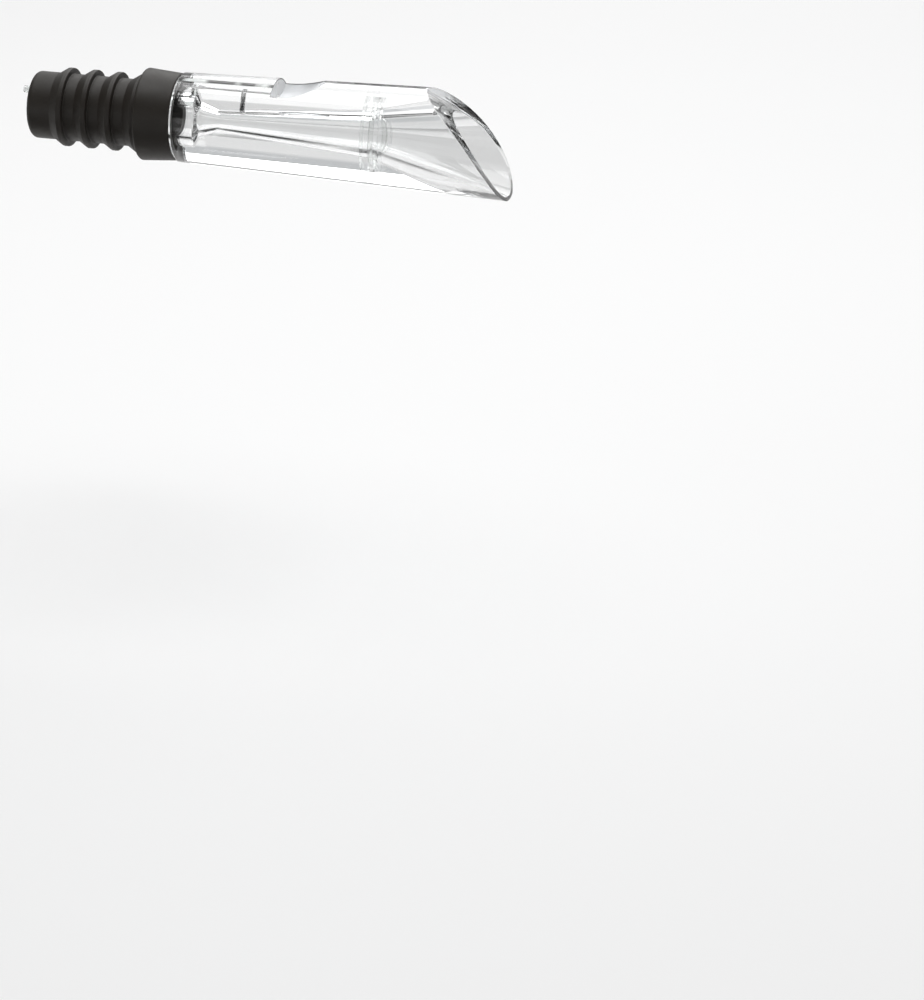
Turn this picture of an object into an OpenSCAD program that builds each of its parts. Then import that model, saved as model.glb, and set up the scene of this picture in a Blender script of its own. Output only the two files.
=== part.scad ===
// Pourer for a wine bottle that mixes air into the wine as it is poured.
// X runs along the pouring axis towards the mouth, Z is up, and the origin is
// on the axis in the plane of the bottle's lip. Sizes are in millimetres.

/* [Stopper] */
// Radius of the ring lands that grip the bottle's bore
land_r = 9.6; // [9.3:0.1:10.2]
// Number of rings on the plug
ring_count = 4; // [2:1:4]
// Distance from one ring to the next
ring_pitch = 6.2; // [4.8:0.1:6.6]
// Width of the flat land on each ring
land_width = 1.2; // [0.8:0.1:1.6]
// Length of the lead-in slope behind each land
ring_slope = 2.2; // [1.2:0.1:2.6]
// Length of the plug inside the bottle
plug_length = 28; // [26:0.5:36]
// Rubber wall between the stem and the plug's surface
plug_wall = 2.65; // [1.8:0.05:3]
// Rounding of the plug's tip
tip_round = 1.5; // [0.5:0.1:2]
// Length of the collar that stands out of the bottle
collar_length = 9; // [6:0.5:14]
// Radius of the collar at the bottle's lip
collar_lip_r = 11.3; // [10.8:0.1:12.5]
// Radius of the collar at its front rim
collar_front_r = 10.6; // [9.8:0.1:12]
// Rounding of the collar's two rims
collar_round = 0.6; // [0.2:0.1:1]

/* [Clear body] */
// Radius of the body at its rear rim
rear_r = 10.9; // [10.5:0.1:12]
// Radius of the body at the lower lip of the mouth
lip_r = 13; // [12.2:0.1:14]
// Length from the rear rim to the lower lip
body_length = 82.5; // [78:0.5:95]
// Distance that the lower lip stands ahead of the mouth's upper edge
mouth_rake = 21.2; // [14:0.2:25]
// Radius of the mouth's bulging curve, seen from the side
mouth_curve_r = 60; // [45:1:150]
// Height of the blunt edge on the lower lip
lip_blunt = 0.4; // [0.2:0.1:0.8]
// Bevel on the rear rim
rim_bevel = 0.6; // [0.2:0.1:1]
// Distance from the rear rim to the seam between body and spout
seam_at = 47.8; // [42:0.2:50]
// Bevel on both edges of the seam
seam_bevel = 0.15; // [0.05:0.05:0.3]

/* [Wine passage] */
// Radius of the stem's bore and of the inlet bell
inlet_r = 4.6; // [4:0.1:5.2]
// Wall of the stem inside the stopper
stem_wall = 0.9; // [0.7:0.05:1.3]
// Length of the stem behind the rear rim
stem_length = 33; // [26:0.5:36]
// Bevel on the stem's end
stem_bevel = 0.4; // [0.2:0.1:0.6]
// Depth of the inlet bell ahead of the rear rim
bell_depth = 4.5; // [3.5:0.1:5]
// Length of the shoulder that closes the bell
shoulder_length = 2; // [1:0.1:2.5]
// Radius where the shoulder turns into the taper
taper_r = 2.8; // [2.4:0.1:3.4]
// Radius of the throat
throat_r = 1.8; // [1.4:0.1:2.2]
// Distance from the rear rim to the throat
throat_at = 10.5; // [9:0.1:13]
// Radius of the diffuser at its open end
diffuser_r = 4; // [3.2:0.1:4.4]

/* [Chamber and seam] */
// Radius of the spigot that carries the spout
spigot_r = 6; // [5.8:0.1:6.8]
// Length of the spigot
spigot_length = 3.5; // [3:0.1:5]
// Step from the diffuser's end to the chamber
chamber_step = 0.4; // [0.1:0.05:0.6]
// Height of the chamber's upper side above the axis, level with the lower lip
chamber_top = 9.7; // [7:0.1:11]
// Wall left at the lower lip
lip_wall = 0.8; // [0.5:0.1:2]
// Radius of the seal ring's round section
seal_r = 0.45; // [0.3:0.05:0.55]

/* [Air way] */
// Radius of the air channel
channel_r = 1.1; // [0.8:0.05:1.3]
// Height of the air channel's floor above the stem's surface
channel_rise = 0.05; // [0.05:0.05:0.6]
// Length of the plug that closes the channel at the rear rim
channel_plug_length = 3.3; // [2.5:0.1:4]
// Length of the channel that lies open in the scoop's floor
channel_open = 3.1; // [2:0.1:4]
// Distance from the rear rim to the scoop's upright wall
scoop_at = 24.4; // [21:0.2:26]
// Distance of the scoop's deepest point ahead of its wall
scoop_ahead = 1.2; // [0.4:0.1:2]
// Radius of the scoop's ball-shaped floor
scoop_r = 14; // [11:0.5:17]
// Distance of the air jet ahead of the throat
jet_ahead = 6; // [3:0.1:8]
// Outer radius of the air jet
jet_r = 0.6; // [0.45:0.05:0.75]
// Radius of the air jet's bore
jet_bore_r = 0.35; // [0.2:0.05:0.4]
// Outer radius of the breather tube
tube_r = 0.9; // [0.7:0.05:1]
// Radius of the breather tube's bore
tube_bore_r = 0.6; // [0.3:0.05:0.65]
// Radius of the breather tube's bend, at the middle of the tube
tube_bend = 1.2; // [1.1:0.1:1.6]
// Length of the breather tube that stands out behind the stem
tube_tail = 7; // [4.5:0.5:10]

/* [Clearances] */
// Radial clearance of the stem in the stopper
stem_fit = 0.05; // [0.02:0.01:0.08]
// Radial clearance of the spigot in the spout
spigot_fit = 0.06; // [0.04:0.01:0.09]
// Height that the seal ring stands out of its groove
seal_proud = 0.03; // [0.01:0.01:0.03]
// Radial clearance of the pieces that are bonded in place
bond_gap = 0.03; // [0.02:0.01:0.06]
// Gap between faces that close on each other
face_gap = 0.05; // [0.03:0.01:0.1]
// Gap between the breather tube and the wall of the bell
tube_gap = 0.2; // [0.1:0.05:0.4]

/* [Hidden] */
$fn = 96;

// Stations along the axis
rear_x = collar_length + face_gap;
stem_x = rear_x - stem_length;
bell_x = rear_x + bell_depth;
shoulder_x = bell_x + shoulder_length;
throat_x = rear_x + throat_at;
seam_x = rear_x + seam_at;
spigot_x = seam_x + spigot_length;
lip_x = rear_x + body_length;
scoop_x = rear_x + scoop_at;
jet_x = throat_x + jet_ahead;
port_r = tube_r + bond_gap;
port_x = rear_x + channel_plug_length + port_r;

// Radii and heights that follow from the fits
stem_r = inlet_r + stem_wall;
stopper_bore_r = stem_r + stem_fit;
core_r = stopper_bore_r + plug_wall;
socket_r = spigot_r + spigot_fit;
channel_z = stem_r + channel_rise + channel_r;
channel_floor_z = channel_z - channel_r;
tube_z = inlet_r - tube_gap - tube_r;
groove_r = spigot_r + seal_proud - 2 * seal_r - bond_gap;
groove_width = 2 * seal_r + 4 * bond_gap;
groove_x = seam_x + (spigot_length - groove_width) / 2;

// Outer taper of the clear body, and the taper of the diffuser in it
function body_r(x) = rear_r + (lip_r - rear_r) * (x - rear_x) / body_length;
function diffuser_at(x) = throat_r + (diffuser_r - throat_r) * (x - throat_x) / (spigot_x - throat_x);

// Side view of the mouth: its two ends, and the centre of the curve between them
mouth_top = [lip_x - mouth_rake, body_r(lip_x - mouth_rake)];
mouth_lip = [lip_x, lip_blunt - lip_r];
mouth_chord = mouth_lip - mouth_top;
mouth_half = norm(mouth_chord) / 2;
mouth_back = sqrt(mouth_curve_r ^ 2 - mouth_half ^ 2) / norm(mouth_chord);
mouth_centre = (mouth_top + mouth_lip) / 2 + mouth_back * [mouth_chord[1], -mouth_chord[0]];

// Chamber's start, and the slopes of its upper and lower sides
chamber_r = diffuser_r + chamber_step;
chamber_rise = atan2(chamber_top - chamber_r, lip_x - spigot_x);
chamber_fall = atan2(lip_r - lip_wall - chamber_r, lip_x - spigot_x);

// Points of a round corner about a centre, from one angle to another
function corner(at, r, from, to, steps = 6) = [
    for (i = [0:steps])
        let (a = from + (to - from) * i / steps)
        at + r * [cos(a), sin(a)]
];

// Turns a profile of [radius, station] points about the pouring axis
module turned(profile)
    rotate([0, 90, 0])
        rotate_extrude()
            polygon(profile);

// A round bar along X from one station to another, at a height above the axis
module bar_x(r, from, to, z = 0)
    translate([from, 0, z])
        rotate([0, 90, 0])
            cylinder(r = r, h = to - from);

// A round bar along Z from one height to another, at a station on the axis
module bar_z(r, at, from, to)
    translate([at, 0, from])
        cylinder(r = r, h = to - from);

// Outline of the plug's rings from the lip back to the last lead-in slope
function ring_points() = [
    for (i = [0:ring_count - 1], p = [
        [land_r, -i * ring_pitch],
        [land_r, -i * ring_pitch - land_width],
        [core_r, -i * ring_pitch - land_width - ring_slope],
        [core_r, i == ring_count - 1 ? -plug_length + tip_round : -(i + 1) * ring_pitch]
    ]) p
];

// Rubber stopper: a tapered collar on the bottle's lip and a ringed plug in its bore
module stopper()
    color("#2a2723")
        turned(concat(
            [[stopper_bore_r, collar_length]],
            corner([collar_front_r - collar_round, collar_length - collar_round], collar_round, 90, 0),
            corner([collar_lip_r - collar_round, collar_round], collar_round, 0, -90),
            ring_points(),
            corner([core_r - tip_round, -plug_length + tip_round], tip_round, 0, -90),
            [[stopper_bore_r, -plug_length]]
        ));

// Outline of the passage from the open end of the diffuser back to the stem's end
function passage_points(steps = 10) = concat(
    [[diffuser_r, spigot_x], [throat_r, throat_x]],
    [
        for (i = [0:steps])
            let (t = i / steps)
            [
                taper_r + (inlet_r - taper_r) * (1 - cos(180 * t)) / 2,
                shoulder_x - shoulder_length * t
            ]
    ],
    [[inlet_r, stem_x]]
);

// Outline of the rear body's outside, from the stem's end to the spigot's end
function rear_body_points() = [
    [stem_r - stem_bevel, stem_x],
    [stem_r, stem_x + stem_bevel],
    [stem_r, rear_x],
    [rear_r - rim_bevel, rear_x],
    [body_r(rear_x + rim_bevel), rear_x + rim_bevel],
    [body_r(seam_x - seam_bevel), seam_x - seam_bevel],
    [body_r(seam_x) - seam_bevel, seam_x],
    [spigot_r, seam_x],
    [spigot_r, groove_x],
    [groove_r, groove_x],
    [groove_r, groove_x + groove_width],
    [spigot_r, groove_x + groove_width],
    [spigot_r, spigot_x - seam_bevel],
    [spigot_r - seam_bevel, spigot_x]
];

// Scoop in the top of the body: a ball-shaped ramp that ends at an upright wall
module scoop_cut()
    intersection() {
        translate([scoop_x, -rear_r, 0])
            cube([2 * scoop_r, 2 * rear_r, 2 * rear_r]);
        translate([scoop_x + scoop_ahead, 0, channel_z + scoop_r])
            rotate([90, 0, 0])
                sphere(r = scoop_r);
    }

// Air channel from the rear rim to its open end in the scoop's floor
module channel_cut()
    bar_x(channel_r, rear_x - 1, scoop_x + channel_open, channel_z);

// Rear half of the clear body, with the stem, the venturi passage and the air way
module venturi_body()
    color("#dfe8ea", 0.4)
        difference() {
            turned(concat(rear_body_points(), passage_points()));
            scoop_cut();
            channel_cut();
            bar_z(jet_r + bond_gap, jet_x, 0, channel_z);
            bar_z(port_r, port_x, tube_z - tube_r - tube_gap, channel_z);
        }

// Clear plug that closes the air channel at the rear rim
module channel_plug()
    color("#e6eef0", 0.5)
        bar_x(channel_r - bond_gap, rear_x, rear_x + channel_plug_length - bond_gap, channel_z);

// Fine steel tube that lets air from the channel into the passage ahead of the throat
module air_jet()
    color("#6f7376")
        difference() {
            bar_z(jet_r, jet_x, diffuser_at(jet_x) + bond_gap, channel_floor_z);
            bar_z(jet_bore_r, jet_x, 0, channel_z);
        }

// Quarter bend of the breather tube between its upright and its long leg
module tube_bend_bar(r)
    translate([port_x - tube_bend, 0, tube_z + tube_bend])
        rotate([90, 0, 0])
            rotate([0, 0, -90])
                rotate_extrude(angle = 90)
                    translate([tube_bend, 0])
                        circle(r = r);

// Breather tube's three runs as solid bars, drawn out past both ends by a margin
module tube_bar(r, margin = 0) {
    bar_z(r, port_x, tube_z + tube_bend, channel_floor_z + margin);
    tube_bend_bar(r);
    bar_x(r, stem_x - tube_tail - margin, port_x - tube_bend, tube_z);
}

// Bent tube that leads air from the channel through the stem into the bottle
module breather_tube()
    color("#e9edea", 0.6)
        difference() {
            tube_bar(tube_r);
            tube_bar(tube_bore_r, 1);
        }

// Soft seal ring in the spigot's groove
module seam_ring()
    color("#c9cdcc", 0.7)
        translate([groove_x + groove_width / 2, 0, 0])
            rotate([0, 90, 0])
                rotate_extrude()
                    translate([spigot_r + seal_proud - seal_r, 0])
                        circle(r = seal_r);

// Chamber that flares from the spigot's end towards the mouth, tilted downwards
module chamber_cut() {
    flare = tan((chamber_fall + chamber_rise) / 2);
    back = spigot_length / 2;
    reach = body_length - seam_at;
    translate([spigot_x, 0, 0])
        rotate([0, 90 + (chamber_fall - chamber_rise) / 2, 0])
            translate([0, 0, -back])
                cylinder(r1 = chamber_r - back * flare, r2 = chamber_r + reach * flare, h = back + reach);
}

// Bulging form of the raked mouth: a wide round bar across the spout
module mouth_form()
    translate([mouth_centre[0], 0, mouth_centre[1]])
        rotate([90, 0, 0])
            cylinder(r = mouth_curve_r, h = 4 * lip_r, center = true);

// Outline of the spout's outside, before the mouth is cut
function spout_points() = [
    [0, seam_x + face_gap],
    [body_r(seam_x) - seam_bevel, seam_x + face_gap],
    [body_r(seam_x + face_gap + seam_bevel), seam_x + face_gap + seam_bevel],
    [lip_r, lip_x],
    [0, lip_x]
];

// Front half of the clear body, with the flared chamber and the raked mouth
module pouring_spout()
    color("#dfe8ea", 0.4)
        difference() {
            intersection() {
                turned(spout_points());
                mouth_form();
            }
            bar_x(socket_r, seam_x, spigot_x + 4 * face_gap);
            chamber_cut();
        }

stopper();
venturi_body();
channel_plug();
air_jet();
breather_tube();
seam_ring();
pouring_spout();
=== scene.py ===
import math

import bmesh
import bpy
from mathutils import Matrix, Vector


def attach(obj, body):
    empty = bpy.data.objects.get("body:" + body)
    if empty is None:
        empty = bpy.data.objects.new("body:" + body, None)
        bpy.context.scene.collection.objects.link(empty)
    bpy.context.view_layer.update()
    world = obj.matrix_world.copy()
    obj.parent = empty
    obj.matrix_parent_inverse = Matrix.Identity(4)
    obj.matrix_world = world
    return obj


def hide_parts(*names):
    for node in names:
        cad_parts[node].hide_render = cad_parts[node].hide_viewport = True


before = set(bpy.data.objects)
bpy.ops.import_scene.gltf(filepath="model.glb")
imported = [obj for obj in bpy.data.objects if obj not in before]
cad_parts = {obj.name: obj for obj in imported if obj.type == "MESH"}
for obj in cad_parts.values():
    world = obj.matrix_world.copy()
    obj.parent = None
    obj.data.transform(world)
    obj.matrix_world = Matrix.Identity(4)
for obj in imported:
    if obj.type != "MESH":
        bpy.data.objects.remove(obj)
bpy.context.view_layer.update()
scene = bpy.context.scene
mm = 0.001
print("frame loaded:", ", ".join(sorted(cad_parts)))


# mesh helpers

meshSettings = {
    "filletSteps": 8,
    "filletReach": 0.45,  # share of an edge that one fillet may take
    "support": 0.08,  # flat kept beside a fillet, in mm
    "supportShare": 0.3,
    "supportLeast": 0.02,
    "weld": 1e-7,
    "crease": 15,
    "barCrease": 30,
}


def filletProfile(corners):
    # closed loop of (x, radius, fillet) in mm; support points keep the flats flat beside each fillet
    s = meshSettings
    points = []
    count = len(corners)
    for i, (x, r, fillet) in enumerate(corners):
        here = Vector((x, r))
        if fillet <= 0:
            points.append(here)
            continue
        before = Vector(corners[i - 1][:2]) - here
        after = Vector(corners[(i + 1) % count][:2]) - here
        a = before.normalized()
        b = after.normalized()
        half = a.angle(b) / 2
        longest = s["filletReach"] * min(before.length, after.length)
        cut = min(fillet / math.tan(half), longest)
        radius = cut * math.tan(half)
        centre = here + (a + b).normalized() * (radius / math.sin(half))
        start = here + a * cut - centre
        end = here + b * cut - centre
        first = math.atan2(start.y, start.x)
        sweep = math.atan2(start.x * end.y - start.y * end.x, start.dot(end))
        edge = min(s["support"], s["supportShare"] * cut + s["supportLeast"])
        points.append(here + a * (cut + edge))
        for k in range(s["filletSteps"] + 1):
            turn = first + sweep * k / s["filletSteps"]
            points.append(centre + radius * Vector((math.cos(turn), math.sin(turn))))
        points.append(here + b * (cut + edge))
    return points


def shadeByAngle(obj, crease):
    # welded, outward normals, smooth apart from edges sharper than the crease angle
    work = bmesh.new()
    work.from_mesh(obj.data)
    bmesh.ops.remove_doubles(work, verts=work.verts, dist=meshSettings["weld"])
    bmesh.ops.recalc_face_normals(work, faces=work.faces)
    for face in work.faces:
        face.smooth = True
    for edge in work.edges:
        edge.smooth = len(edge.link_faces) == 2 and edge.calc_face_angle() < math.radians(crease)
    work.to_mesh(obj.data)
    work.free()


def finishMesh(name, verts, faces, crease):
    mesh = bpy.data.meshes.new(name)
    mesh.from_pydata(verts, [], faces)
    obj = bpy.data.objects.new(name, mesh)
    scene.collection.objects.link(obj)
    shadeByAngle(obj, crease)
    return obj


def ringFaces(segments, count):
    # quads between lines of points that stand round an axis, each line a closed loop
    faces = []
    for s in range(segments):
        here = s * count
        there = (s + 1) % segments * count
        for i in range(count):
            j = (i + 1) % count
            faces.append((here + i, here + j, there + j, there + i))
    return faces


def latheMesh(name, profile, segments, crease=meshSettings["crease"]):
    # turns a closed loop of (x, radius) about the pouring axis
    verts = []
    for s in range(segments):
        turn = 2 * math.pi * s / segments
        for x, r in profile:
            verts.append((x * mm, r * math.sin(turn) * mm, r * math.cos(turn) * mm))
    return finishMesh(name, verts, ringFaces(segments, len(profile)), crease)


def barMesh(name, start, end, radius, segments):
    # round bar between two points in mm, used as a cutting tool
    start = Vector(start)
    axis = Vector(end) - start
    turn = axis.to_track_quat("Z", "Y").to_matrix()
    verts = []
    for along in (Vector((0, 0, 0)), axis):
        for s in range(segments):
            a = 2 * math.pi * (s + 0.5) / segments
            spoke = turn @ Vector((radius * math.cos(a), radius * math.sin(a), 0))
            verts.append((start + along + spoke) * mm)
    faces = [tuple(reversed(range(segments))), tuple(range(segments, 2 * segments))]
    for s in range(segments):
        t = (s + 1) % segments
        faces.append((s, t, segments + t, segments + s))
    return finishMesh(name, verts, faces, meshSettings["barCrease"])


def carve(obj, cutters):
    # exact cuts, kept in the mesh, and the tools taken away
    for cutter in cutters:
        cut = obj.modifiers.new(cutter.name, "BOOLEAN")
        cut.operation = "DIFFERENCE"
        cut.solver = "EXACT"
        cut.object = cutter
    view = bpy.context.evaluated_depsgraph_get()
    carved = bpy.data.meshes.new_from_object(obj.evaluated_get(view))
    obj.modifiers.clear()
    old = obj.data
    obj.data = carved
    carved.name = obj.name
    bpy.data.meshes.remove(old)
    for cutter in cutters:
        bpy.data.objects.remove(cutter)
    shadeByAngle(obj, meshSettings["crease"])


# node helpers

mixFactor, mixLow, mixHigh, mixColour = 0, 6, 7, 2  # colour sockets of a Mix node
blendFactor, blendLow, blendHigh, blendValue = 0, 2, 3, 0  # and its float sockets


def addNode(tree, kind, values=None, **settings):
    node = tree.nodes.new(kind)
    for key, value in settings.items():
        setattr(node, key, value)
    for key, value in (values or {}).items():
        node.inputs[key].default_value = value
    return node


def newMaterial(name):
    material = bpy.data.materials.new(name)
    material.use_nodes = True
    tree = material.node_tree
    tree.nodes.clear()
    output = addNode(tree, "ShaderNodeOutputMaterial")
    shader = addNode(tree, "ShaderNodeBsdfPrincipled")
    tree.links.new(shader.outputs["BSDF"], output.inputs["Surface"])
    return material, tree, shader


def newGroup(name, inputs, outputs):
    group = bpy.data.node_groups.new(name, "ShaderNodeTree")
    for label, kind, value in inputs:
        socket = group.interface.new_socket(label, in_out="INPUT", socket_type=kind)
        socket.default_value = value
    for label in outputs:
        group.interface.new_socket(label, in_out="OUTPUT", socket_type="NodeSocketFloat")
    return group, group.nodes.new("NodeGroupInput"), group.nodes.new("NodeGroupOutput")


def fillGroup(tree, group, values):
    node = tree.nodes.new("ShaderNodeGroup")
    node.node_tree = group
    for key, value in values.items():
        node.inputs[key].default_value = value
    return node


def mixColours(tree, factor, low, high):
    # low and high are plain colours or sockets
    node = addNode(tree, "ShaderNodeMix", data_type="RGBA")
    tree.links.new(factor, node.inputs[mixFactor])
    for place, colour in ((mixLow, low), (mixHigh, high)):
        if isinstance(colour, tuple):
            node.inputs[place].default_value = (*colour, 1)
        else:
            tree.links.new(colour, node.inputs[place])
    return node.outputs[mixColour]


def mapValue(tree, source, low, high):
    node = addNode(tree, "ShaderNodeMapRange", {"To Min": low, "To Max": high})
    tree.links.new(source, node.inputs["Value"])
    return node.outputs["Result"]


def addBump(tree, shader, height, strength, distance):
    bump = addNode(tree, "ShaderNodeBump", {"Strength": strength, "Distance": distance})
    tree.links.new(height, bump.inputs["Height"])
    tree.links.new(bump.outputs["Normal"], shader.inputs["Normal"])


# shared effects

def makeMouldGrain():
    # fine tooth and slow waviness of a moulded surface
    group, start, end = newGroup(
        "mouldGrain",
        [("Grain Scale", "NodeSocketFloat", 4000.0), ("Wave Scale", "NodeSocketFloat", 90.0),
         ("Wave Share", "NodeSocketFloat", 0.5)],
        ["Height", "Mottle"])
    link = group.links.new
    place = addNode(group, "ShaderNodeTexCoord")
    grain = addNode(group, "ShaderNodeTexNoise", {"Detail": 3.0, "Roughness": 0.6})
    wave = addNode(group, "ShaderNodeTexNoise", {"Detail": 1.0, "Roughness": 0.4})
    mix = addNode(group, "ShaderNodeMix", data_type="FLOAT")
    link(place.outputs["Object"], grain.inputs["Vector"])
    link(place.outputs["Object"], wave.inputs["Vector"])
    link(start.outputs["Grain Scale"], grain.inputs["Scale"])
    link(start.outputs["Wave Scale"], wave.inputs["Scale"])
    link(start.outputs["Wave Share"], mix.inputs[blendFactor])
    link(grain.outputs["Fac"], mix.inputs[blendLow])
    link(wave.outputs["Fac"], mix.inputs[blendHigh])
    link(mix.outputs[blendValue], end.inputs["Height"])
    link(wave.outputs["Fac"], end.inputs["Mottle"])
    return group


def makeHandlingMarks():
    # specks and soft smears that handling leaves, as masks from 0 to 1
    group, start, end = newGroup(
        "handlingMarks",
        [("Speck Scale", "NodeSocketFloat", 900.0), ("Smear Scale", "NodeSocketFloat", 120.0),
         ("Speck Share", "NodeSocketFloat", 0.2)],
        ["Marks", "Specks"])
    link = group.links.new
    place = addNode(group, "ShaderNodeTexCoord")
    specks = addNode(group, "ShaderNodeTexVoronoi", feature="F1")
    cut = addNode(group, "ShaderNodeMapRange", {"From Min": 0.16, "From Max": 0.06})
    smear = addNode(group, "ShaderNodeTexNoise", {"Detail": 4.0, "Roughness": 0.55, "Distortion": 0.6})
    lift = addNode(group, "ShaderNodeMapRange", {"From Min": 0.42, "From Max": 0.72})
    thin = addNode(group, "ShaderNodeMath", operation="MULTIPLY")
    both = addNode(group, "ShaderNodeMath", operation="MAXIMUM")
    link(place.outputs["Object"], specks.inputs["Vector"])
    link(place.outputs["Object"], smear.inputs["Vector"])
    link(start.outputs["Speck Scale"], specks.inputs["Scale"])
    link(start.outputs["Smear Scale"], smear.inputs["Scale"])
    link(specks.outputs["Distance"], cut.inputs["Value"])
    link(smear.outputs["Fac"], lift.inputs["Value"])
    link(cut.outputs["Result"], thin.inputs[0])
    link(start.outputs["Speck Share"], thin.inputs[1])
    link(thin.outputs[0], both.inputs[0])
    link(lift.outputs["Result"], both.inputs[1])
    link(both.outputs[0], end.inputs["Marks"])
    link(thin.outputs[0], end.inputs["Specks"])
    return group


def makeDrawLinesAndShadeDashes():
    # noise drawn out along one axis: the steel jet's draw lines, and the dashes of painted shade along the
    # air channel's roof
    group, start, end = newGroup(
        "drawLinesAndShadeDashes",
        [("Stretch", "NodeSocketVector", (1.0, 1.0, 1.0)), ("Detail", "NodeSocketFloat", 2.0),
         ("Coarseness", "NodeSocketFloat", 0.5)],
        ["Marks"])
    link = group.links.new
    place = addNode(group, "ShaderNodeTexCoord")
    stretch = addNode(group, "ShaderNodeMapping")
    noise = addNode(group, "ShaderNodeTexNoise", {"Scale": 1.0})
    link(place.outputs["Object"], stretch.inputs["Vector"])
    link(start.outputs["Stretch"], stretch.inputs["Scale"])
    link(stretch.outputs["Vector"], noise.inputs["Vector"])
    link(start.outputs["Detail"], noise.inputs["Detail"])
    link(start.outputs["Coarseness"], noise.inputs["Roughness"])
    link(noise.outputs["Fac"], end.inputs["Marks"])
    return group


def makeRimShadeLine():
    # thin line of painted shade where a cut leaves the tapered outer surface, as a mask from 0 to 1
    group, start, end = newGroup(
        "rimShadeLine",
        [("Start Radius", "NodeSocketFloat", 0.01), ("Taper", "NodeSocketFloat", 0.02),
         ("Line Width", "NodeSocketFloat", 0.0003)],
        ["Line"])
    link = group.links.new
    place = addNode(group, "ShaderNodeTexCoord")
    parts = addNode(group, "ShaderNodeSeparateXYZ")
    across = addNode(group, "ShaderNodeCombineXYZ")
    reach = addNode(group, "ShaderNodeVectorMath", operation="LENGTH")
    cone = addNode(group, "ShaderNodeMath", operation="MULTIPLY_ADD")
    depth = addNode(group, "ShaderNodeMath", operation="SUBTRACT")
    share = addNode(group, "ShaderNodeMath", operation="DIVIDE")
    line = addNode(group, "ShaderNodeMapRange", {"From Min": 1.0, "From Max": 0.6})
    link(place.outputs["Object"], parts.inputs["Vector"])
    link(parts.outputs["Y"], across.inputs["Y"])
    link(parts.outputs["Z"], across.inputs["Z"])
    link(across.outputs["Vector"], reach.inputs[0])
    link(parts.outputs["X"], cone.inputs[0])
    link(start.outputs["Taper"], cone.inputs[1])
    link(start.outputs["Start Radius"], cone.inputs[2])
    link(cone.outputs[0], depth.inputs[0])
    link(reach.outputs["Value"], depth.inputs[1])
    link(depth.outputs[0], share.inputs[0])
    link(start.outputs["Line Width"], share.inputs[1])
    link(share.outputs[0], line.inputs["Value"])
    link(line.outputs["Result"], end.inputs["Line"])
    return group


mouldGrain = makeMouldGrain()
handlingMarks = makeHandlingMarks()
drawLinesAndShadeDashes = makeDrawLinesAndShadeDashes()
rimShadeLine = makeRimShadeLine()


# materials

def addRoughness(tree, shader, settings):
    # smeared places take the second roughness
    marks = fillGroup(tree, handlingMarks, settings["marks"])
    rough = mapValue(tree, marks.outputs["Marks"], *settings["roughness"])
    tree.links.new(rough, shader.inputs["Roughness"])
    return marks


def makeRubber(name, settings):
    material, tree, shader = newMaterial(name)
    grain = fillGroup(tree, mouldGrain, settings["grain"])
    marks = addRoughness(tree, shader, settings)
    base = mixColours(tree, grain.outputs["Mottle"], settings["dark"], settings["light"])
    dusty = mixColours(tree, marks.outputs["Specks"], base, settings["dust"])
    tree.links.new(dusty, shader.inputs["Base Color"])
    shader.inputs["Specular IOR Level"].default_value = settings["shine"]
    addBump(tree, shader, grain.outputs["Height"], settings["bump"], settings["depth"])
    return material


def makeClear(name, settings):
    material, tree, shader = newMaterial(name)
    grain = fillGroup(tree, mouldGrain, settings["grain"])
    addRoughness(tree, shader, settings)
    tint = mixColours(tree, grain.outputs["Mottle"], settings["tintLow"], settings["tintHigh"])
    # a thin dark line of painted shade where a cut meets the outer surface
    if "rimShadeLine" in settings:
        line = fillGroup(tree, rimShadeLine, settings["rimShadeLine"])
        tint = mixColours(tree, line.outputs["Line"], tint, settings["rimShadeTint"])
    tree.links.new(tint, shader.inputs["Base Color"])
    shader.inputs["Transmission Weight"].default_value = settings["transmission"]
    shader.inputs["IOR"].default_value = settings["ior"]
    addBump(tree, shader, grain.outputs["Height"], settings["bump"], settings["depth"])
    # lamps shine through to what lies inside
    output = shader.outputs["BSDF"].links[0].to_node
    path = addNode(tree, "ShaderNodeLightPath")
    clearWay = addNode(tree, "ShaderNodeBsdfTransparent", {"Color": (*settings["lampTint"], 1)})
    mix = addNode(tree, "ShaderNodeMixShader")
    tree.links.new(path.outputs["Is Shadow Ray"], mix.inputs[0])
    tree.links.new(shader.outputs["BSDF"], mix.inputs[1])
    tree.links.new(clearWay.outputs["BSDF"], mix.inputs[2])
    tree.links.new(mix.outputs[0], output.inputs["Surface"])
    return material


def makeChannelShade(name, settings):
    # clear plastic with painted shade along a bore: a dark line broken into dashes
    material, tree, shader = newMaterial(name)
    addRoughness(tree, shader, settings)
    noise = fillGroup(tree, drawLinesAndShadeDashes, settings["shadeDashNoise"])
    low, high = settings["dashEdge"]
    dashes = addNode(tree, "ShaderNodeMapRange", {"From Min": low, "From Max": high})
    tree.links.new(noise.outputs["Marks"], dashes.inputs["Value"])
    tint = mixColours(tree, dashes.outputs["Result"], settings["dark"], settings["light"])
    tree.links.new(tint, shader.inputs["Base Color"])
    shader.inputs["Transmission Weight"].default_value = settings["transmission"]
    shader.inputs["IOR"].default_value = settings["ior"]
    addBump(tree, shader, noise.outputs["Marks"], settings["bump"], settings["depth"])
    return material


def makeSteel(name, settings):
    material, tree, shader = newMaterial(name)
    addRoughness(tree, shader, settings)
    lines = fillGroup(tree, drawLinesAndShadeDashes, settings["drawLines"])
    tint = mixColours(tree, lines.outputs["Marks"], settings["dark"], settings["light"])
    tree.links.new(tint, shader.inputs["Base Color"])
    shader.inputs["Metallic"].default_value = 1.0
    addBump(tree, shader, lines.outputs["Marks"], settings["bump"], settings["depth"])
    return material


# camera at the photograph's viewing angle

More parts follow.
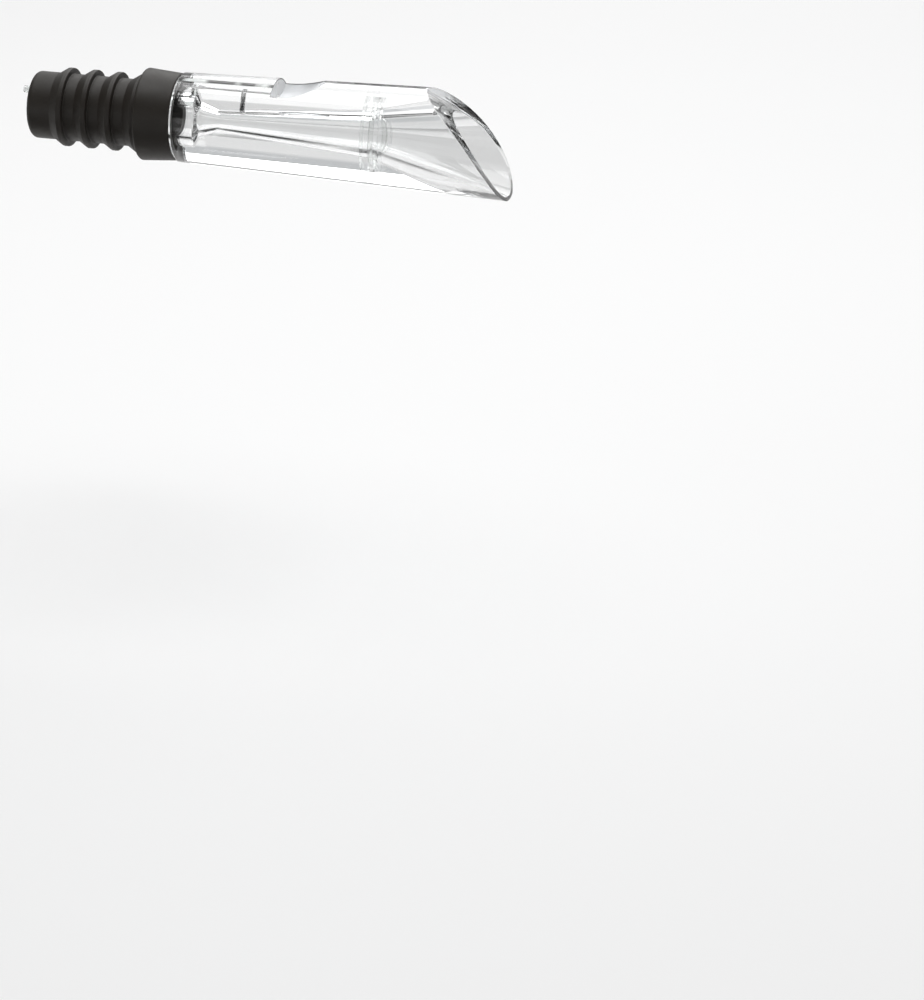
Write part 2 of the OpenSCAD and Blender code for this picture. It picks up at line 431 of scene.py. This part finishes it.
viewSettings = {
    "spot": (0.230676, -0.716700, 0.193670),
    "right": (0.97588244, 0.2155138, 0.0347456),
    "up": (-0.10998018, 0.34790144, 0.93105797),
    "forward": (-0.1885678, 0.91242446, -0.36321315),
    "lens": 113.1,
    "sensor": 36.0,
    "nearest": 0.01,
    "furthest": 30,
}


def makeCamera(settings):
    data = bpy.data.cameras.new("viewCamera")
    data.lens = settings["lens"]
    data.sensor_width = settings["sensor"]
    data.clip_start = settings["nearest"]
    data.clip_end = settings["furthest"]
    camera = bpy.data.objects.new("viewCamera", data)
    right, up, forward = (Vector(settings[key]) for key in ("right", "up", "forward"))
    turn = Matrix((right, up, -forward)).transposed()
    camera.matrix_world = Matrix.Translation(settings["spot"]) @ turn.to_4x4()
    scene.collection.objects.link(camera)
    scene.camera = camera


makeCamera(viewSettings)
print("camera placed")


# rubber stopper

stopperSettings = {
    "segments": 160,
    "boreR": 5.48,  # grips the stem without an air film
    "boreRound": 0.15,
    "coreR": 8.2,
    "landR": 9.6,
    "landWidth": 1.2,
    "ringSlope": 2.2,
    "ringPitch": 6.2,
    "ringCount": 4,
    "ringRound": 0.3,
    "stepRound": 0.25,
    "slopeRound": 0.4,
    "plugLength": 28.0,
    "tipRound": 1.5,
    "tipBoreRound": 0.3,
    "collarLipR": 11.3,
    "collarFrontR": 10.6,
    "collarFront": 9.07,  # presses on the clear rim without an air film
    "collarRound": 0.6,
    "material": {
        "grain": {"Grain Scale": 5200.0, "Wave Scale": 160.0, "Wave Share": 0.25},
        "marks": {"Speck Scale": 1500.0, "Smear Scale": 140.0, "Speck Share": 0.25},
        "dark": (0.0145, 0.0112, 0.0078),
        "light": (0.0205, 0.0160, 0.0114),
        "dust": (0.085, 0.080, 0.072),
        "roughness": (0.58, 0.44),
        "shine": 0.48,
        "bump": 0.35,
        "depth": 0.00006,
    },
}


def makeStopper(settings):
    s = settings
    corners = [
        (s["collarFront"], s["boreR"], s["boreRound"]),
        (s["collarFront"], s["collarFrontR"], s["collarRound"]),
        (0.0, s["collarLipR"], s["collarRound"]),
        (0.0, s["landR"], 0.0),
    ]
    for i in range(s["ringCount"]):
        start = -i * s["ringPitch"]
        if i:
            corners.append((start, s["coreR"], s["stepRound"]))
            corners.append((start, s["landR"], s["ringRound"]))
        corners.append((start - s["landWidth"], s["landR"], s["ringRound"]))
        corners.append((start - s["landWidth"] - s["ringSlope"], s["coreR"], s["slopeRound"]))
    corners.append((-s["plugLength"], s["coreR"], s["tipRound"]))
    corners.append((-s["plugLength"], s["boreR"], s["tipBoreRound"]))
    stopper = latheMesh("stopperRubber", filletProfile(corners), s["segments"])
    stopper.data.materials.append(makeRubber("stopperRubber", s["material"]))
    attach(stopper, "stopper")
    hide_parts("stopper")


makeStopper(stopperSettings)
print("stopper made")


# clear acrylic, shared by both halves of the body and the channel plug

acrylicSettings = {
    "grain": {"Grain Scale": 2600.0, "Wave Scale": 70.0, "Wave Share": 0.85},
    "marks": {"Speck Scale": 700.0, "Smear Scale": 60.0, "Speck Share": 0.3},
    "tintLow": (0.985, 0.992, 0.992),
    "tintHigh": (0.995, 0.998, 0.998),
    "lampTint": (0.95, 0.96, 0.96),
    "roughness": (0.0, 0.012),
    "transmission": 1.0,
    "ior": 1.49,
    "bump": 0.05,
    "depth": 0.00005,
}
# ramp of the scoop as the mould left it, with a thin dark line of painted shade along its rim
satinSettings = {
    **acrylicSettings,
    "tintLow": (0.74, 0.76, 0.78),
    "tintHigh": (0.84, 0.86, 0.88),
    "roughness": (0.22, 0.36),
    "transmission": 0.42,
    "bump": 0.15,
    "rimShadeLine": {"Start Radius": 0.01067, "Taper": 0.02545, "Line Width": 0.00034},
    "rimShadeTint": (0.02, 0.02, 0.021),
}
# upright wall of the scoop, paler than the ramp, with the same painted shade line along its rim
wallSettings = {
    **satinSettings,
    "tintLow": (0.96, 0.965, 0.98),
    "tintHigh": (0.99, 0.99, 1.0),
    "transmission": 0.12,
}
# roof and open end of the air channel, where a dark line of painted shade runs in dashes
channelShadeSettings = {
    "marks": {"Speck Scale": 2500.0, "Smear Scale": 400.0, "Speck Share": 0.3},
    "shadeDashNoise": {"Stretch": (120.0, 1.0, 1.0), "Detail": 2.0, "Coarseness": 0.5},
    "dashEdge": (0.50, 0.60),
    # dark is the painted shade of the dashes, light the clear plastic between them
    "dark": (0.012, 0.013, 0.012),
    "light": (0.72, 0.74, 0.73),
    "roughness": (0.30, 0.45),
    "transmission": 0.15,
    "ior": 1.49,
    "bump": 0.1,
    "depth": 0.00002,
}
clearAcrylic = makeClear("clearAcrylic", acrylicSettings)
satinAcrylic = makeClear("satinAcrylic", satinSettings)
wallAcrylic = makeClear("wallAcrylic", wallSettings)
# painted shade for the dark line along the air channel's roof
channelShadeAcrylic = makeChannelShade("channelShadeAcrylic", channelShadeSettings)
bodyFinishes = [clearAcrylic, satinAcrylic, channelShadeAcrylic, wallAcrylic]
polished, satinRamp, shadedChannel, satinWall = range(len(bodyFinishes))  # their material slots


# rear half with the venturi passage and the air way

bodySettings = {
    "segments": 192,
    "rearX": 9.05,
    "rearR": 10.9,
    "lipR": 13.0,
    "length": 82.5,
    "stemX": -23.95,
    "stemR": 5.5,
    "stemBevel": 0.4,
    "stemRound": 0.1,
    "rimBevel": 0.6,
    "rimRound": 0.12,
    "seamX": 56.85,
    "seamBevel": 0.03,
    "spigotR": 6.0,
    "spigotX": 60.35,
    "spigotBevel": 0.15,
    "spigotRound": 0.05,
    "grooveX": 58.09,
    "grooveWidth": 1.02,
    "grooveR": 5.1,
    "grooveRound": 0.08,
    "diffuserR": 4.0,
    "flareR": 4.36,  # runs into the chamber's flare
    "flareLength": 2.2,
    "flareDrop": 0.12,
    "flareRound": 2.0,
    "throatX": 19.55,
    "throatR": 1.8,
    "throatRound": 1.2,
    "taperR": 2.8,
    "shoulderX": 15.55,
    "shoulderLength": 2.0,
    "shoulderSteps": 28,
    "inletR": 4.6,
    "channelR": 1.1,
    "channelZ": 6.65,
    "channelOpen": 3.1,
    "channelLead": 1.0,  # the tool starts behind the rear face
    "channelSegments": 64,
    "roofAngles": (52.0, 122.0),  # part of the channel that takes the painted shade, in degrees round it
    "scoopX": 33.45,
    "scoopAhead": 1.2,
    "scoopR": 14.0,
    "scoopSegments": (256, 128),
    "jetX": 25.55,
    "jetHoleR": 0.63,
    "jetSegments": 40,
    "portX": 13.28,
    "portR": 0.88,  # holds the tube without an air film
    "portLow": 2.4,
    "portSegments": 48,
    # how a face lies that belongs to the scoop's wall, or to its ramp or the channel
    "onWall": 0.01,
    "onCurve": 0.02,
    "facingAhead": 0.99,
    "facingAside": 0.1,
}


def bodyRadius(x):
    s = bodySettings
    return s["rearR"] + (s["lipR"] - s["rearR"]) * (x - s["rearX"]) / s["length"]


def ballCentre(s):
    return Vector((s["scoopX"] + s["scoopAhead"], 0, s["channelZ"] + s["scoopR"]))


def scoopTool(s):
    # ball-shaped ramp that stops at an upright wall
    work = bmesh.new()
    around, along = s["scoopSegments"]
    bmesh.ops.create_uvsphere(work, u_segments=around, v_segments=along, radius=s["scoopR"] * mm)
    turn = Matrix.Rotation(math.radians(90), 4, "X")
    bmesh.ops.transform(work, matrix=Matrix.Translation(ballCentre(s) * mm) @ turn, verts=work.verts)
    wall = Vector((s["scoopX"] * mm, 0, 0))
    found = bmesh.ops.bisect_plane(work, geom=work.verts[:] + work.edges[:] + work.faces[:], plane_co=wall,
                                   plane_no=(-1, 0, 0), clear_outer=True)
    rim = [e for e in found["geom_cut"] if isinstance(e, bmesh.types.BMEdge)]
    bmesh.ops.contextual_create(work, geom=rim)
    bmesh.ops.recalc_face_normals(work, faces=work.faces)
    mesh = bpy.data.meshes.new("scoopTool")
    work.to_mesh(mesh)
    work.free()
    tool = bpy.data.objects.new("scoopTool", mesh)
    scene.collection.objects.link(tool)
    return tool


def finishAt(s, spot, normal):
    # material slot of a face of the rear half, by where it lies
    nearWall = abs(spot.x - s["scoopX"]) < s["onWall"]
    if nearWall and normal.x > s["facingAhead"]:
        return satinWall
    if abs((spot - ballCentre(s)).length - s["scoopR"]) < s["onCurve"]:
        return satinRamp
    rise = spot.z - s["channelZ"]
    nearBore = abs(math.hypot(spot.y, rise) - s["channelR"]) < s["onCurve"]
    if not nearBore or abs(normal.x) >= s["facingAside"]:
        return polished
    # the channel's roof and open end take the painted shade
    low, high = s["roofAngles"]
    onRoof = low < math.degrees(math.atan2(rise, -spot.y)) < high
    inOpenEnd = spot.x > s["scoopX"]
    return shadedChannel if onRoof or inOpenEnd else polished


def makeVenturiBody(settings):
    s = settings
    seam = s["seamX"]
    rimEnd = s["rearX"] + s["rimBevel"]
    groove = s["grooveX"]
    grooveEnd = groove + s["grooveWidth"]
    corners = [
        (s["stemX"], s["stemR"] - s["stemBevel"], s["stemRound"]),
        (s["stemX"] + s["stemBevel"], s["stemR"], s["stemRound"]),
        (s["rearX"], s["stemR"], 0.0),
        (s["rearX"], s["rearR"] - s["rimBevel"], s["rimRound"]),
        (rimEnd, bodyRadius(rimEnd), s["rimRound"]),
        (seam - s["seamBevel"], bodyRadius(seam - s["seamBevel"]), 0.0),
        (seam, bodyRadius(seam) - s["seamBevel"], 0.0),
        (seam, s["spigotR"], 0.0),
        (groove, s["spigotR"], s["grooveRound"]),
        (groove, s["grooveR"], 0.0),
        (grooveEnd, s["grooveR"], 0.0),
        (grooveEnd, s["spigotR"], s["grooveRound"]),
        (s["spigotX"] - s["spigotBevel"], s["spigotR"], s["spigotRound"]),
        (s["spigotX"], s["spigotR"] - s["spigotBevel"], s["spigotRound"]),
        (s["spigotX"], s["flareR"], s["spigotRound"]),
        (s["spigotX"] - s["flareLength"], s["diffuserR"] - s["flareDrop"], s["flareRound"]),
        (s["throatX"], s["throatR"], s["throatRound"]),
    ]
    for i in range(s["shoulderSteps"] + 1):
        t = i / s["shoulderSteps"]
        r = s["taperR"] + (s["inletR"] - s["taperR"]) * (1 - math.cos(math.pi * t)) / 2
        corners.append((s["shoulderX"] - s["shoulderLength"] * t, r, 0.0))
    corners.append((s["stemX"], s["inletR"], s["stemRound"]))
    body = latheMesh("venturiBody", filletProfile(corners), s["segments"])
    z = s["channelZ"]
    channelStart = (s["rearX"] - s["channelLead"], 0, z)
    channelEnd = (s["scoopX"] + s["channelOpen"], 0, z)
    portStart = (s["portX"], 0, s["portLow"])
    carve(body, [
        scoopTool(s),
        barMesh("channelTool", channelStart, channelEnd, s["channelR"], s["channelSegments"]),
        barMesh("jetTool", (s["jetX"], 0, 0), (s["jetX"], 0, z), s["jetHoleR"], s["jetSegments"]),
        barMesh("portTool", portStart, (s["portX"], 0, z), s["portR"], s["portSegments"]),
    ])
    body.data.materials.clear()
    for finish in bodyFinishes:
        body.data.materials.append(finish)
    for face in body.data.polygons:
        face.material_index = finishAt(s, face.center / mm, face.normal)
    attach(body, "pourer")
    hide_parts("venturi_body")
    return body


venturiBody = makeVenturiBody(bodySettings)
print("venturi body made:", len(venturiBody.data.polygons), "faces")


# pouring spout with the flared chamber and the bulging raked mouth

spoutSettings = {
    "segments": 224,
    "crease": 20,
    "seamX": 56.83,  # seats on the rear half without an air film
    "seamBevel": 0.03,
    "socketR": 5.98,  # grips the spigot in the same way
    "socketEnd": 60.33,
    "socketBevel": 0.15,
    "chamberX": 60.35,
    "chamberR": 4.4,
    "chamberTop": 9.7,
    "lipWall": 0.8,
    "lipX": 91.55,
    "lipR": 13.0,
    "lipBlunt": 0.4,
    "lipBlend": 0.3,
    "mouthRake": 21.2,
    "mouthCurveR": 60.0,
    "rimRound": 0.28,
    "rimShare": 0.28,  # most of the mouth's face that one rounded rim may take
    "rimSteps": 6,
    "rimSupport": 1.4,  # support points beside a rim, in widths of its round
    "rimBack": 0.8,  # last plain ring of the outside, behind the rim
    "wallStep": 1.0,  # how far back the slope of a wall is taken
    "faceEnds": (0.2, 0.8),  # where on the mouth's face its slope is taken
    "outerSteps": 14,
    "faceSteps": 10,
    "chamberSteps": 16,
}


def mouthCurve(s):
    # centre of the mouth's curve in the side view
    topX = s["lipX"] - s["mouthRake"]
    top = Vector((topX, bodyRadius(topX)))
    lip = Vector((s["lipX"], s["lipBlunt"] - s["lipR"]))
    chord = lip - top
    back = math.sqrt(s["mouthCurveR"] ** 2 - (chord.length / 2) ** 2) / chord.length
    return (top + lip) / 2 + back * Vector((chord.y, -chord.x))


def softMin(a, b, blend):
    # lower of two values, rounded over where they meet
    h = max(blend - abs(a - b), 0.0) / blend
    return min(a, b) - h * h * blend / 4


def meetCurve(centre, radius, x0, z0, ux, uz):
    # furthest meeting of a line in the side view with the mouth's curve
    px = x0 - centre.x
    pz = z0 - centre.y
    a = ux * ux + uz * uz
    b = px * ux + pz * uz
    c = px * px + pz * pz - radius * radius
    return (-b + math.sqrt(b * b - a * c)) / a


def roundedTurn(s, here, back, ahead, width):
    # points that turn a corner smoothly, with one support point on each side
    a = (back - here).normalized()
    b = (ahead - here).normalized()
    points = [here + a * width * s["rimSupport"]]
    for k in range(s["rimSteps"] + 1):
        t = k / s["rimSteps"]
        points.append(here + a * width * (1 - t) ** 2 + b * width * t ** 2)
    points.append(here + b * width * s["rimSupport"])
    return points


def makeSpout(settings):
    s = settings
    centre = mouthCurve(s)
    curveR = s["mouthCurveR"]
    reach = s["lipX"] - s["chamberX"]
    rise = math.atan2(s["chamberTop"] - s["chamberR"], reach)
    fall = math.atan2(s["lipR"] - s["lipWall"] - s["chamberR"], reach)
    tilt = (fall - rise) / 2
    flare = math.tan((fall + rise) / 2)
    taper = bodyRadius(1) - bodyRadius(0)
    axis = Vector((math.cos(tilt), 0, -math.sin(tilt)))
    across = Vector((math.sin(tilt), 0, math.cos(tilt)))
    chamberStart = Vector((s["chamberX"], 0, 0))
    shoulder = s["seamX"] + s["seamBevel"]
    seamR = bodyRadius(s["seamX"]) - s["seamBevel"]
    cornerR = s["socketR"] - s["socketBevel"]
    faceFrom, faceTo = s["faceEnds"]

    def ringPoint(x, r, c, d):
        return Vector((x, r * d, r * c))

    def outerPoint(x, c, d):
        return ringPoint(x, bodyRadius(x), c, d)

    def onFace(a, b, t):
        # point of the mouth's face between two of its points
        y = a.y + (b.y - a.y) * t
        z = a.z + (b.z - a.z) * t
        inside = max(curveR ** 2 - (z - centre.y) ** 2, 0.0)
        return Vector((softMin(centre.x + math.sqrt(inside), s["lipX"], s["lipBlend"]), y, z))

    verts = []
    for i in range(s["segments"]):
        turn = 2 * math.pi * i / s["segments"]
        c = math.cos(turn)
        d = math.sin(turn)
        spoke = across * c + Vector((0, d, 0))
        # outer and inner rim of the mouth
        rimAt = min(meetCurve(centre, curveR, 0, bodyRadius(0) * c, 1, taper * c), s["lipX"])
        rim = outerPoint(rimAt, c, d)
        flareStart = chamberStart + spoke * s["chamberR"]
        along = axis + spoke * flare
        edgeAt = meetCurve(centre, curveR, flareStart.x, flareStart.z, along.x, along.z)
        edge = flareStart + along * edgeAt
        # foot of the chamber on the socket's end face
        foot = flareStart + along * ((s["socketEnd"] - flareStart.x) / along.x)
        line = [ringPoint(s["seamX"], s["socketR"], c, d), ringPoint(s["seamX"], seamR, c, d)]
        straight = rimAt - s["rimBack"] - shoulder
        for k in range(s["outerSteps"]):
            line.append(outerPoint(shoulder + straight * k / (s["outerSteps"] - 1), c, d))
        width = min(s["rimRound"], s["rimShare"] * (edge - rim).length)
        outerBack = outerPoint(rimAt - s["wallStep"], c, d)
        innerBack = flareStart + along * (edgeAt - s["wallStep"])
        outerTurn = roundedTurn(s, rim, outerBack, onFace(rim, edge, faceFrom), width)
        innerTurn = roundedTurn(s, edge, onFace(rim, edge, faceTo), innerBack, width)
        line.extend(outerTurn)
        for k in range(1, s["faceSteps"]):
            line.append(onFace(outerTurn[-1], innerTurn[0], k / s["faceSteps"]))
        line.extend(innerTurn)
        last = innerTurn[-1]
        for k in range(1, s["chamberSteps"]):
            line.append(last + (foot - last) * k / s["chamberSteps"])
        line.append(foot)
        line.append(ringPoint(s["socketEnd"], cornerR, c, d))
        line.append(ringPoint(s["socketEnd"] - s["socketBevel"], s["socketR"], c, d))
        verts.extend(p * mm for p in line)
    faces = ringFaces(s["segments"], len(verts) // s["segments"])
    spout = finishMesh("pouringSpout", verts, faces, s["crease"])
    spout.data.materials.append(clearAcrylic)
    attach(spout, "spout")
    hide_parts("pouring_spout")
    return spout


pouringSpout = makeSpout(spoutSettings)
print("pouring spout made:", len(pouringSpout.data.polygons), "faces")


# breather tube and air jet, which keep their CAD shape

tubeSettings = {
    "grain": {"Grain Scale": 3000.0, "Wave Scale": 240.0, "Wave Share": 0.6},
    "marks": {"Speck Scale": 1200.0, "Smear Scale": 200.0, "Speck Share": 0.3},
    "tintLow": (0.90, 0.93, 0.92),
    "tintHigh": (0.97, 0.98, 0.975),
    "lampTint": (0.9, 0.92, 0.91),
    "roughness": (0.04, 0.10),
    "transmission": 1.0,
    "ior": 1.42,
    "bump": 0.1,
    "depth": 0.00003,
}
jetSettings = {
    "marks": {"Speck Scale": 4000.0, "Smear Scale": 700.0, "Speck Share": 0.3},
    "drawLines": {"Stretch": (9000.0, 9000.0, 500.0), "Detail": 3.0, "Coarseness": 0.6},
    "dark": (0.20, 0.20, 0.205),
    "light": (0.42, 0.425, 0.43),
    "roughness": (0.24, 0.40),
    "bump": 0.2,
    "depth": 0.00001,
}


def dressNode(node, material):
    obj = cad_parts[node]
    obj.data.materials.clear()
    obj.data.materials.append(material)


dressNode("breather_tube", makeClear("clearTube", tubeSettings))
dressNode("air_jet", makeSteel("jetSteel", jetSettings))
print("tube and jet dressed")


# seal ring, squeezed until it fills its groove

sealSettings = {
    "segments": 160,
    "crease": 40,
    "startX": 58.07,
    "endX": 59.13,
    "innerR": 5.08,
    "edgeR": 5.99,
    "crownR": 6.03,
    "crownSteps": 8,
    "round": 0.1,
    "material": {
        "grain": {"Grain Scale": 6000.0, "Wave Scale": 300.0, "Wave Share": 0.4},
        "marks": {"Speck Scale": 2000.0, "Smear Scale": 260.0, "Speck Share": 0.2},
        "tintLow": (0.86, 0.87, 0.86),
        "tintHigh": (0.95, 0.955, 0.95),
        "lampTint": (0.8, 0.8, 0.8),
        "roughness": (0.08, 0.16),
        "transmission": 1.0,
        "ior": 1.41,
        "bump": 0.12,
        "depth": 0.00002,
    },
}


def makeSeal(settings):
    s = settings
    corners = [(s["endX"], s["innerR"], s["round"]), (s["startX"], s["innerR"], s["round"])]
    for k in range(s["crownSteps"] + 1):
        t = k / s["crownSteps"]
        lift = (s["crownR"] - s["edgeR"]) * math.sin(math.pi * t)
        corners.append((s["startX"] + (s["endX"] - s["startX"]) * t, s["edgeR"] + lift, 0.0))
    seal = latheMesh("sealRing", filletProfile(corners), s["segments"], s["crease"])
    seal.data.materials.append(makeClear("sealSilicone", s["material"]))
    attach(seal, "pourer")
    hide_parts("seam_ring")


makeSeal(sealSettings)
print("seal made")


# plug bonded into the rear of the air channel, with the hollow that the bond leaves in its front

plugSettings = {
    "segments": 64,
    "crease": 30,
    "radius": 1.12,  # bonded, so no air film
    "startX": 9.05,
    "endX": 12.32,
    "startRound": 0.15,
    "hollow": 0.5,
    "hollowSteps": 8,
}


def makeChannelPlug(settings):
    s = settings
    line = filletProfile([(s["startX"], 0.0, 0.0), (s["startX"], s["radius"], s["startRound"]),
                          (s["endX"], s["radius"], 0.0)])
    for k in range(1, s["hollowSteps"] + 1):
        t = 1 - k / s["hollowSteps"]
        line.append(Vector((s["endX"] - s["hollow"] * (1 - t * t), s["radius"] * t)))
    first, last = line[0], line[-1]
    rings = line[1:-1]
    rise = bodySettings["channelZ"]
    verts = [Vector((first.x, 0, rise)) * mm, Vector((last.x, 0, rise)) * mm]
    for i in range(s["segments"]):
        turn = 2 * math.pi * i / s["segments"]
        for x, r in rings:
            verts.append(Vector((x, r * math.sin(turn), rise + r * math.cos(turn))) * mm)
    tips = 2  # the first two points close the ends
    count = len(rings)
    faces = []
    for i in range(s["segments"]):
        here = tips + i * count
        there = tips + (i + 1) % s["segments"] * count
        faces.append((0, here, there))
        faces.append((1, there + count - 1, here + count - 1))
        for k in range(count - 1):
            faces.append((here + k, here + k + 1, there + k + 1, there + k))
    plug = finishMesh("channelPlug", verts, faces, s["crease"])
    plug.data.materials.append(clearAcrylic)
    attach(plug, "pourer")
    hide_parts("channel_plug")


makeChannelPlug(plugSettings)
print("channel plug made")


# floor, studio surroundings and lamps

studioSettings = {
    "floorZ": -0.11,
    "floorSize": 8.0,
    "floorLow": (0.90, 0.90, 0.90),
    "floorHigh": (0.93, 0.93, 0.93),
    "floorGrain": {"Grain Scale": 600.0, "Wave Scale": 2.0, "Wave Share": 0.5},
    "floorRoughness": 0.9,
    "floorShine": 0.1,
    "horizon": (0.80, 0.80, 0.80),
    "horizonRise": (0.13, 0.22),
    "backWall": (0.58, 0.59, 0.60),
    "backGlow": (1.05, 1.05, 1.05),
    "glowRise": (0.42, 0.50),
    "sideRoom": (0.10, 0.10, 0.10),
    "roomTurn": (0.30, 0.62),
    "ceiling": (1.1, 1.1, 1.1),
    "ceilingRise": (0.80, 0.92),
    "boxes": [
        {"name": "topBox", "spot": (0.03, 0.12, 0.75), "aim": (0.03, 0.0, 0.0), "size": 0.7, "power": 3.2},
        {"name": "backBox", "spot": (0.0, 1.3, 0.9), "aim": (0.03, 0.0, 0.0), "size": 1.0, "power": 6.0},
    ],
    # dark cards that draw the outlines of the clear pieces, seen only through them or only mirrored on them
    "cards": [
        {"name": "cardFront", "spot": (0.159, -0.0035, -0.10), "size": (0.282, 0.073), "turn": (0, 0, 0)},
        {"name": "cardMiddle", "spot": (-0.005, -0.025, -0.10), "size": (0.062, 0.092), "turn": (0, 0, 0),
         "fade": 0.024},
        {"name": "cardRear", "spot": (-0.079, -0.01, -0.10), "size": (0.102, 0.12), "turn": (0, 0, 0)},
        {"name": "cardAhead", "spot": (0.30, 0.05, 0.02), "size": (0.24, 0.5), "turn": (0, 90, 0)},
        {"name": "cardHigh", "spot": (0.0, 0.40, 0.67), "size": (0.8, 0.34), "turn": (90, 0, 0)},
        {"name": "cardThin", "spot": (0.05, 0.43, -0.10), "size": (0.9, 0.54), "turn": (0, 0, 0),
         "cover": 0.3},
        {"name": "cardNear", "spot": (0.05, -0.20, -0.10), "size": (0.9, 0.16), "turn": (0, 0, 0)},
    ],
    "mirroredCards": [
        {"name": "cardFar", "spot": (0.0725, 0.50, 0.0175), "size": (0.355, 0.245), "turn": (90, 0, 0)},
        {"name": "cardUnder", "spot": (0.03, -0.14, -0.105), "size": (0.5, 0.24), "turn": (0, 0, 0)},
    ],
    "cardFade": 0.008,
    "cardCover": 1.0,
    "cardColour": (0.01, 0.01, 0.01),
    "cardRoughness": 0.9,
    "bounces": {"max_bounces": 32, "glossy_bounces": 16, "transmission_bounces": 32,
                "transparent_max_bounces": 32},
}


def flatSheet(name, halfWidth, halfHeight, z):
    w, h = halfWidth, halfHeight
    mesh = bpy.data.meshes.new(name)
    mesh.from_pydata([(-w, -h, z), (w, -h, z), (w, h, z), (-w, h, z)], [], [(0, 1, 2, 3)])
    obj = bpy.data.objects.new(name, mesh)
    scene.collection.objects.link(obj)
    return obj


def makeFloor(settings):
    half = settings["floorSize"] / 2
    floor = flatSheet("studioFloor", half, half, settings["floorZ"])
    material, tree, shader = newMaterial("studioPaper")
    grain = fillGroup(tree, mouldGrain, settings["floorGrain"])
    tint = mixColours(tree, grain.outputs["Mottle"], settings["floorLow"], settings["floorHigh"])
    tree.links.new(tint, shader.inputs["Base Color"])
    shader.inputs["Roughness"].default_value = settings["floorRoughness"]
    shader.inputs["Specular IOR Level"].default_value = settings["floorShine"]
    floor.data.materials.append(material)


def makeSurroundings(settings):
    # pale horizon, grey wall behind with a glow above it, dim room at the sides and front, light ceiling
    world = bpy.data.worlds.new("studio")
    scene.world = world
    world.use_nodes = True
    tree = world.node_tree
    tree.nodes.clear()
    link = tree.links.new
    output = addNode(tree, "ShaderNodeOutputWorld")
    light = addNode(tree, "ShaderNodeBackground")
    place = addNode(tree, "ShaderNodeTexCoord")
    parts = addNode(tree, "ShaderNodeSeparateXYZ")
    link(place.outputs["Generated"], parts.inputs["Vector"])

    def ramp(axis, key):
        low, high = settings[key]
        node = addNode(tree, "ShaderNodeMapRange", {"From Min": low, "From Max": high},
                       interpolation_type="SMOOTHSTEP")
        link(parts.outputs[axis], node.inputs["Value"])
        return node.outputs["Result"]

    wall = mixColours(tree, ramp("Z", "glowRise"), settings["backWall"], settings["backGlow"])
    room = mixColours(tree, ramp("Y", "roomTurn"), settings["sideRoom"], wall)
    lower = mixColours(tree, ramp("Z", "horizonRise"), settings["horizon"], room)
    whole = mixColours(tree, ramp("Z", "ceilingRise"), lower, settings["ceiling"])
    link(whole, light.inputs["Color"])
    link(light.outputs["Background"], output.inputs["Surface"])


def makeCardPaper(settings, card, halfSizes):
    # black paper that thins out towards its edges
    material, tree, shader = newMaterial(card["name"])
    fade = card.get("fade", settings["cardFade"])
    cover = card.get("cover", settings["cardCover"])
    shader.inputs["Base Color"].default_value = (*settings["cardColour"], 1)
    shader.inputs["Roughness"].default_value = settings["cardRoughness"]
    place = addNode(tree, "ShaderNodeTexCoord")
    parts = addNode(tree, "ShaderNodeSeparateXYZ")
    tree.links.new(place.outputs["Object"], parts.inputs["Vector"])
    both = addNode(tree, "ShaderNodeMath", operation="MULTIPLY")
    for i, half in enumerate(halfSizes):
        far = addNode(tree, "ShaderNodeMath", operation="ABSOLUTE")
        ramp = addNode(tree, "ShaderNodeMapRange", {"From Min": half, "From Max": half - fade})
        tree.links.new(parts.outputs[i], far.inputs[0])
        tree.links.new(far.outputs[0], ramp.inputs["Value"])
        tree.links.new(ramp.outputs["Result"], both.inputs[i])
    tree.links.new(mapValue(tree, both.outputs[0], 0.0, cover), shader.inputs["Alpha"])
    return material


def makeCards(settings, key, mirrored):
    for card in settings[key]:
        halfSizes = [x / 2 for x in card["size"]]
        obj = flatSheet(card["name"], *halfSizes, 0)
        obj.location = card["spot"]
        obj.rotation_euler = [math.radians(a) for a in card["turn"]]
        obj.data.materials.append(makeCardPaper(settings, card, halfSizes))
        obj.visible_camera = False
        obj.visible_diffuse = False
        obj.visible_glossy = mirrored
        obj.visible_transmission = not mirrored
        obj.visible_shadow = False


def makeBoxes(settings):
    for box in settings["boxes"]:
        data = bpy.data.lights.new(box["name"], "AREA")
        data.shape = "DISK"
        data.size = box["size"]
        data.energy = box["power"]
        lamp = bpy.data.objects.new(box["name"], data)
        lamp.location = box["spot"]
        way = Vector(box["aim"]) - Vector(box["spot"])
        lamp.rotation_euler = way.to_track_quat("-Z", "Y").to_euler()
        scene.collection.objects.link(lamp)


makeFloor(studioSettings)
makeSurroundings(studioSettings)
makeBoxes(studioSettings)
makeCards(studioSettings, "cards", False)
makeCards(studioSettings, "mirroredCards", True)
scene.view_settings.view_transform = "Standard"
for limit, count in studioSettings["bounces"].items():
    setattr(scene.cycles, limit, count)
print("studio set")
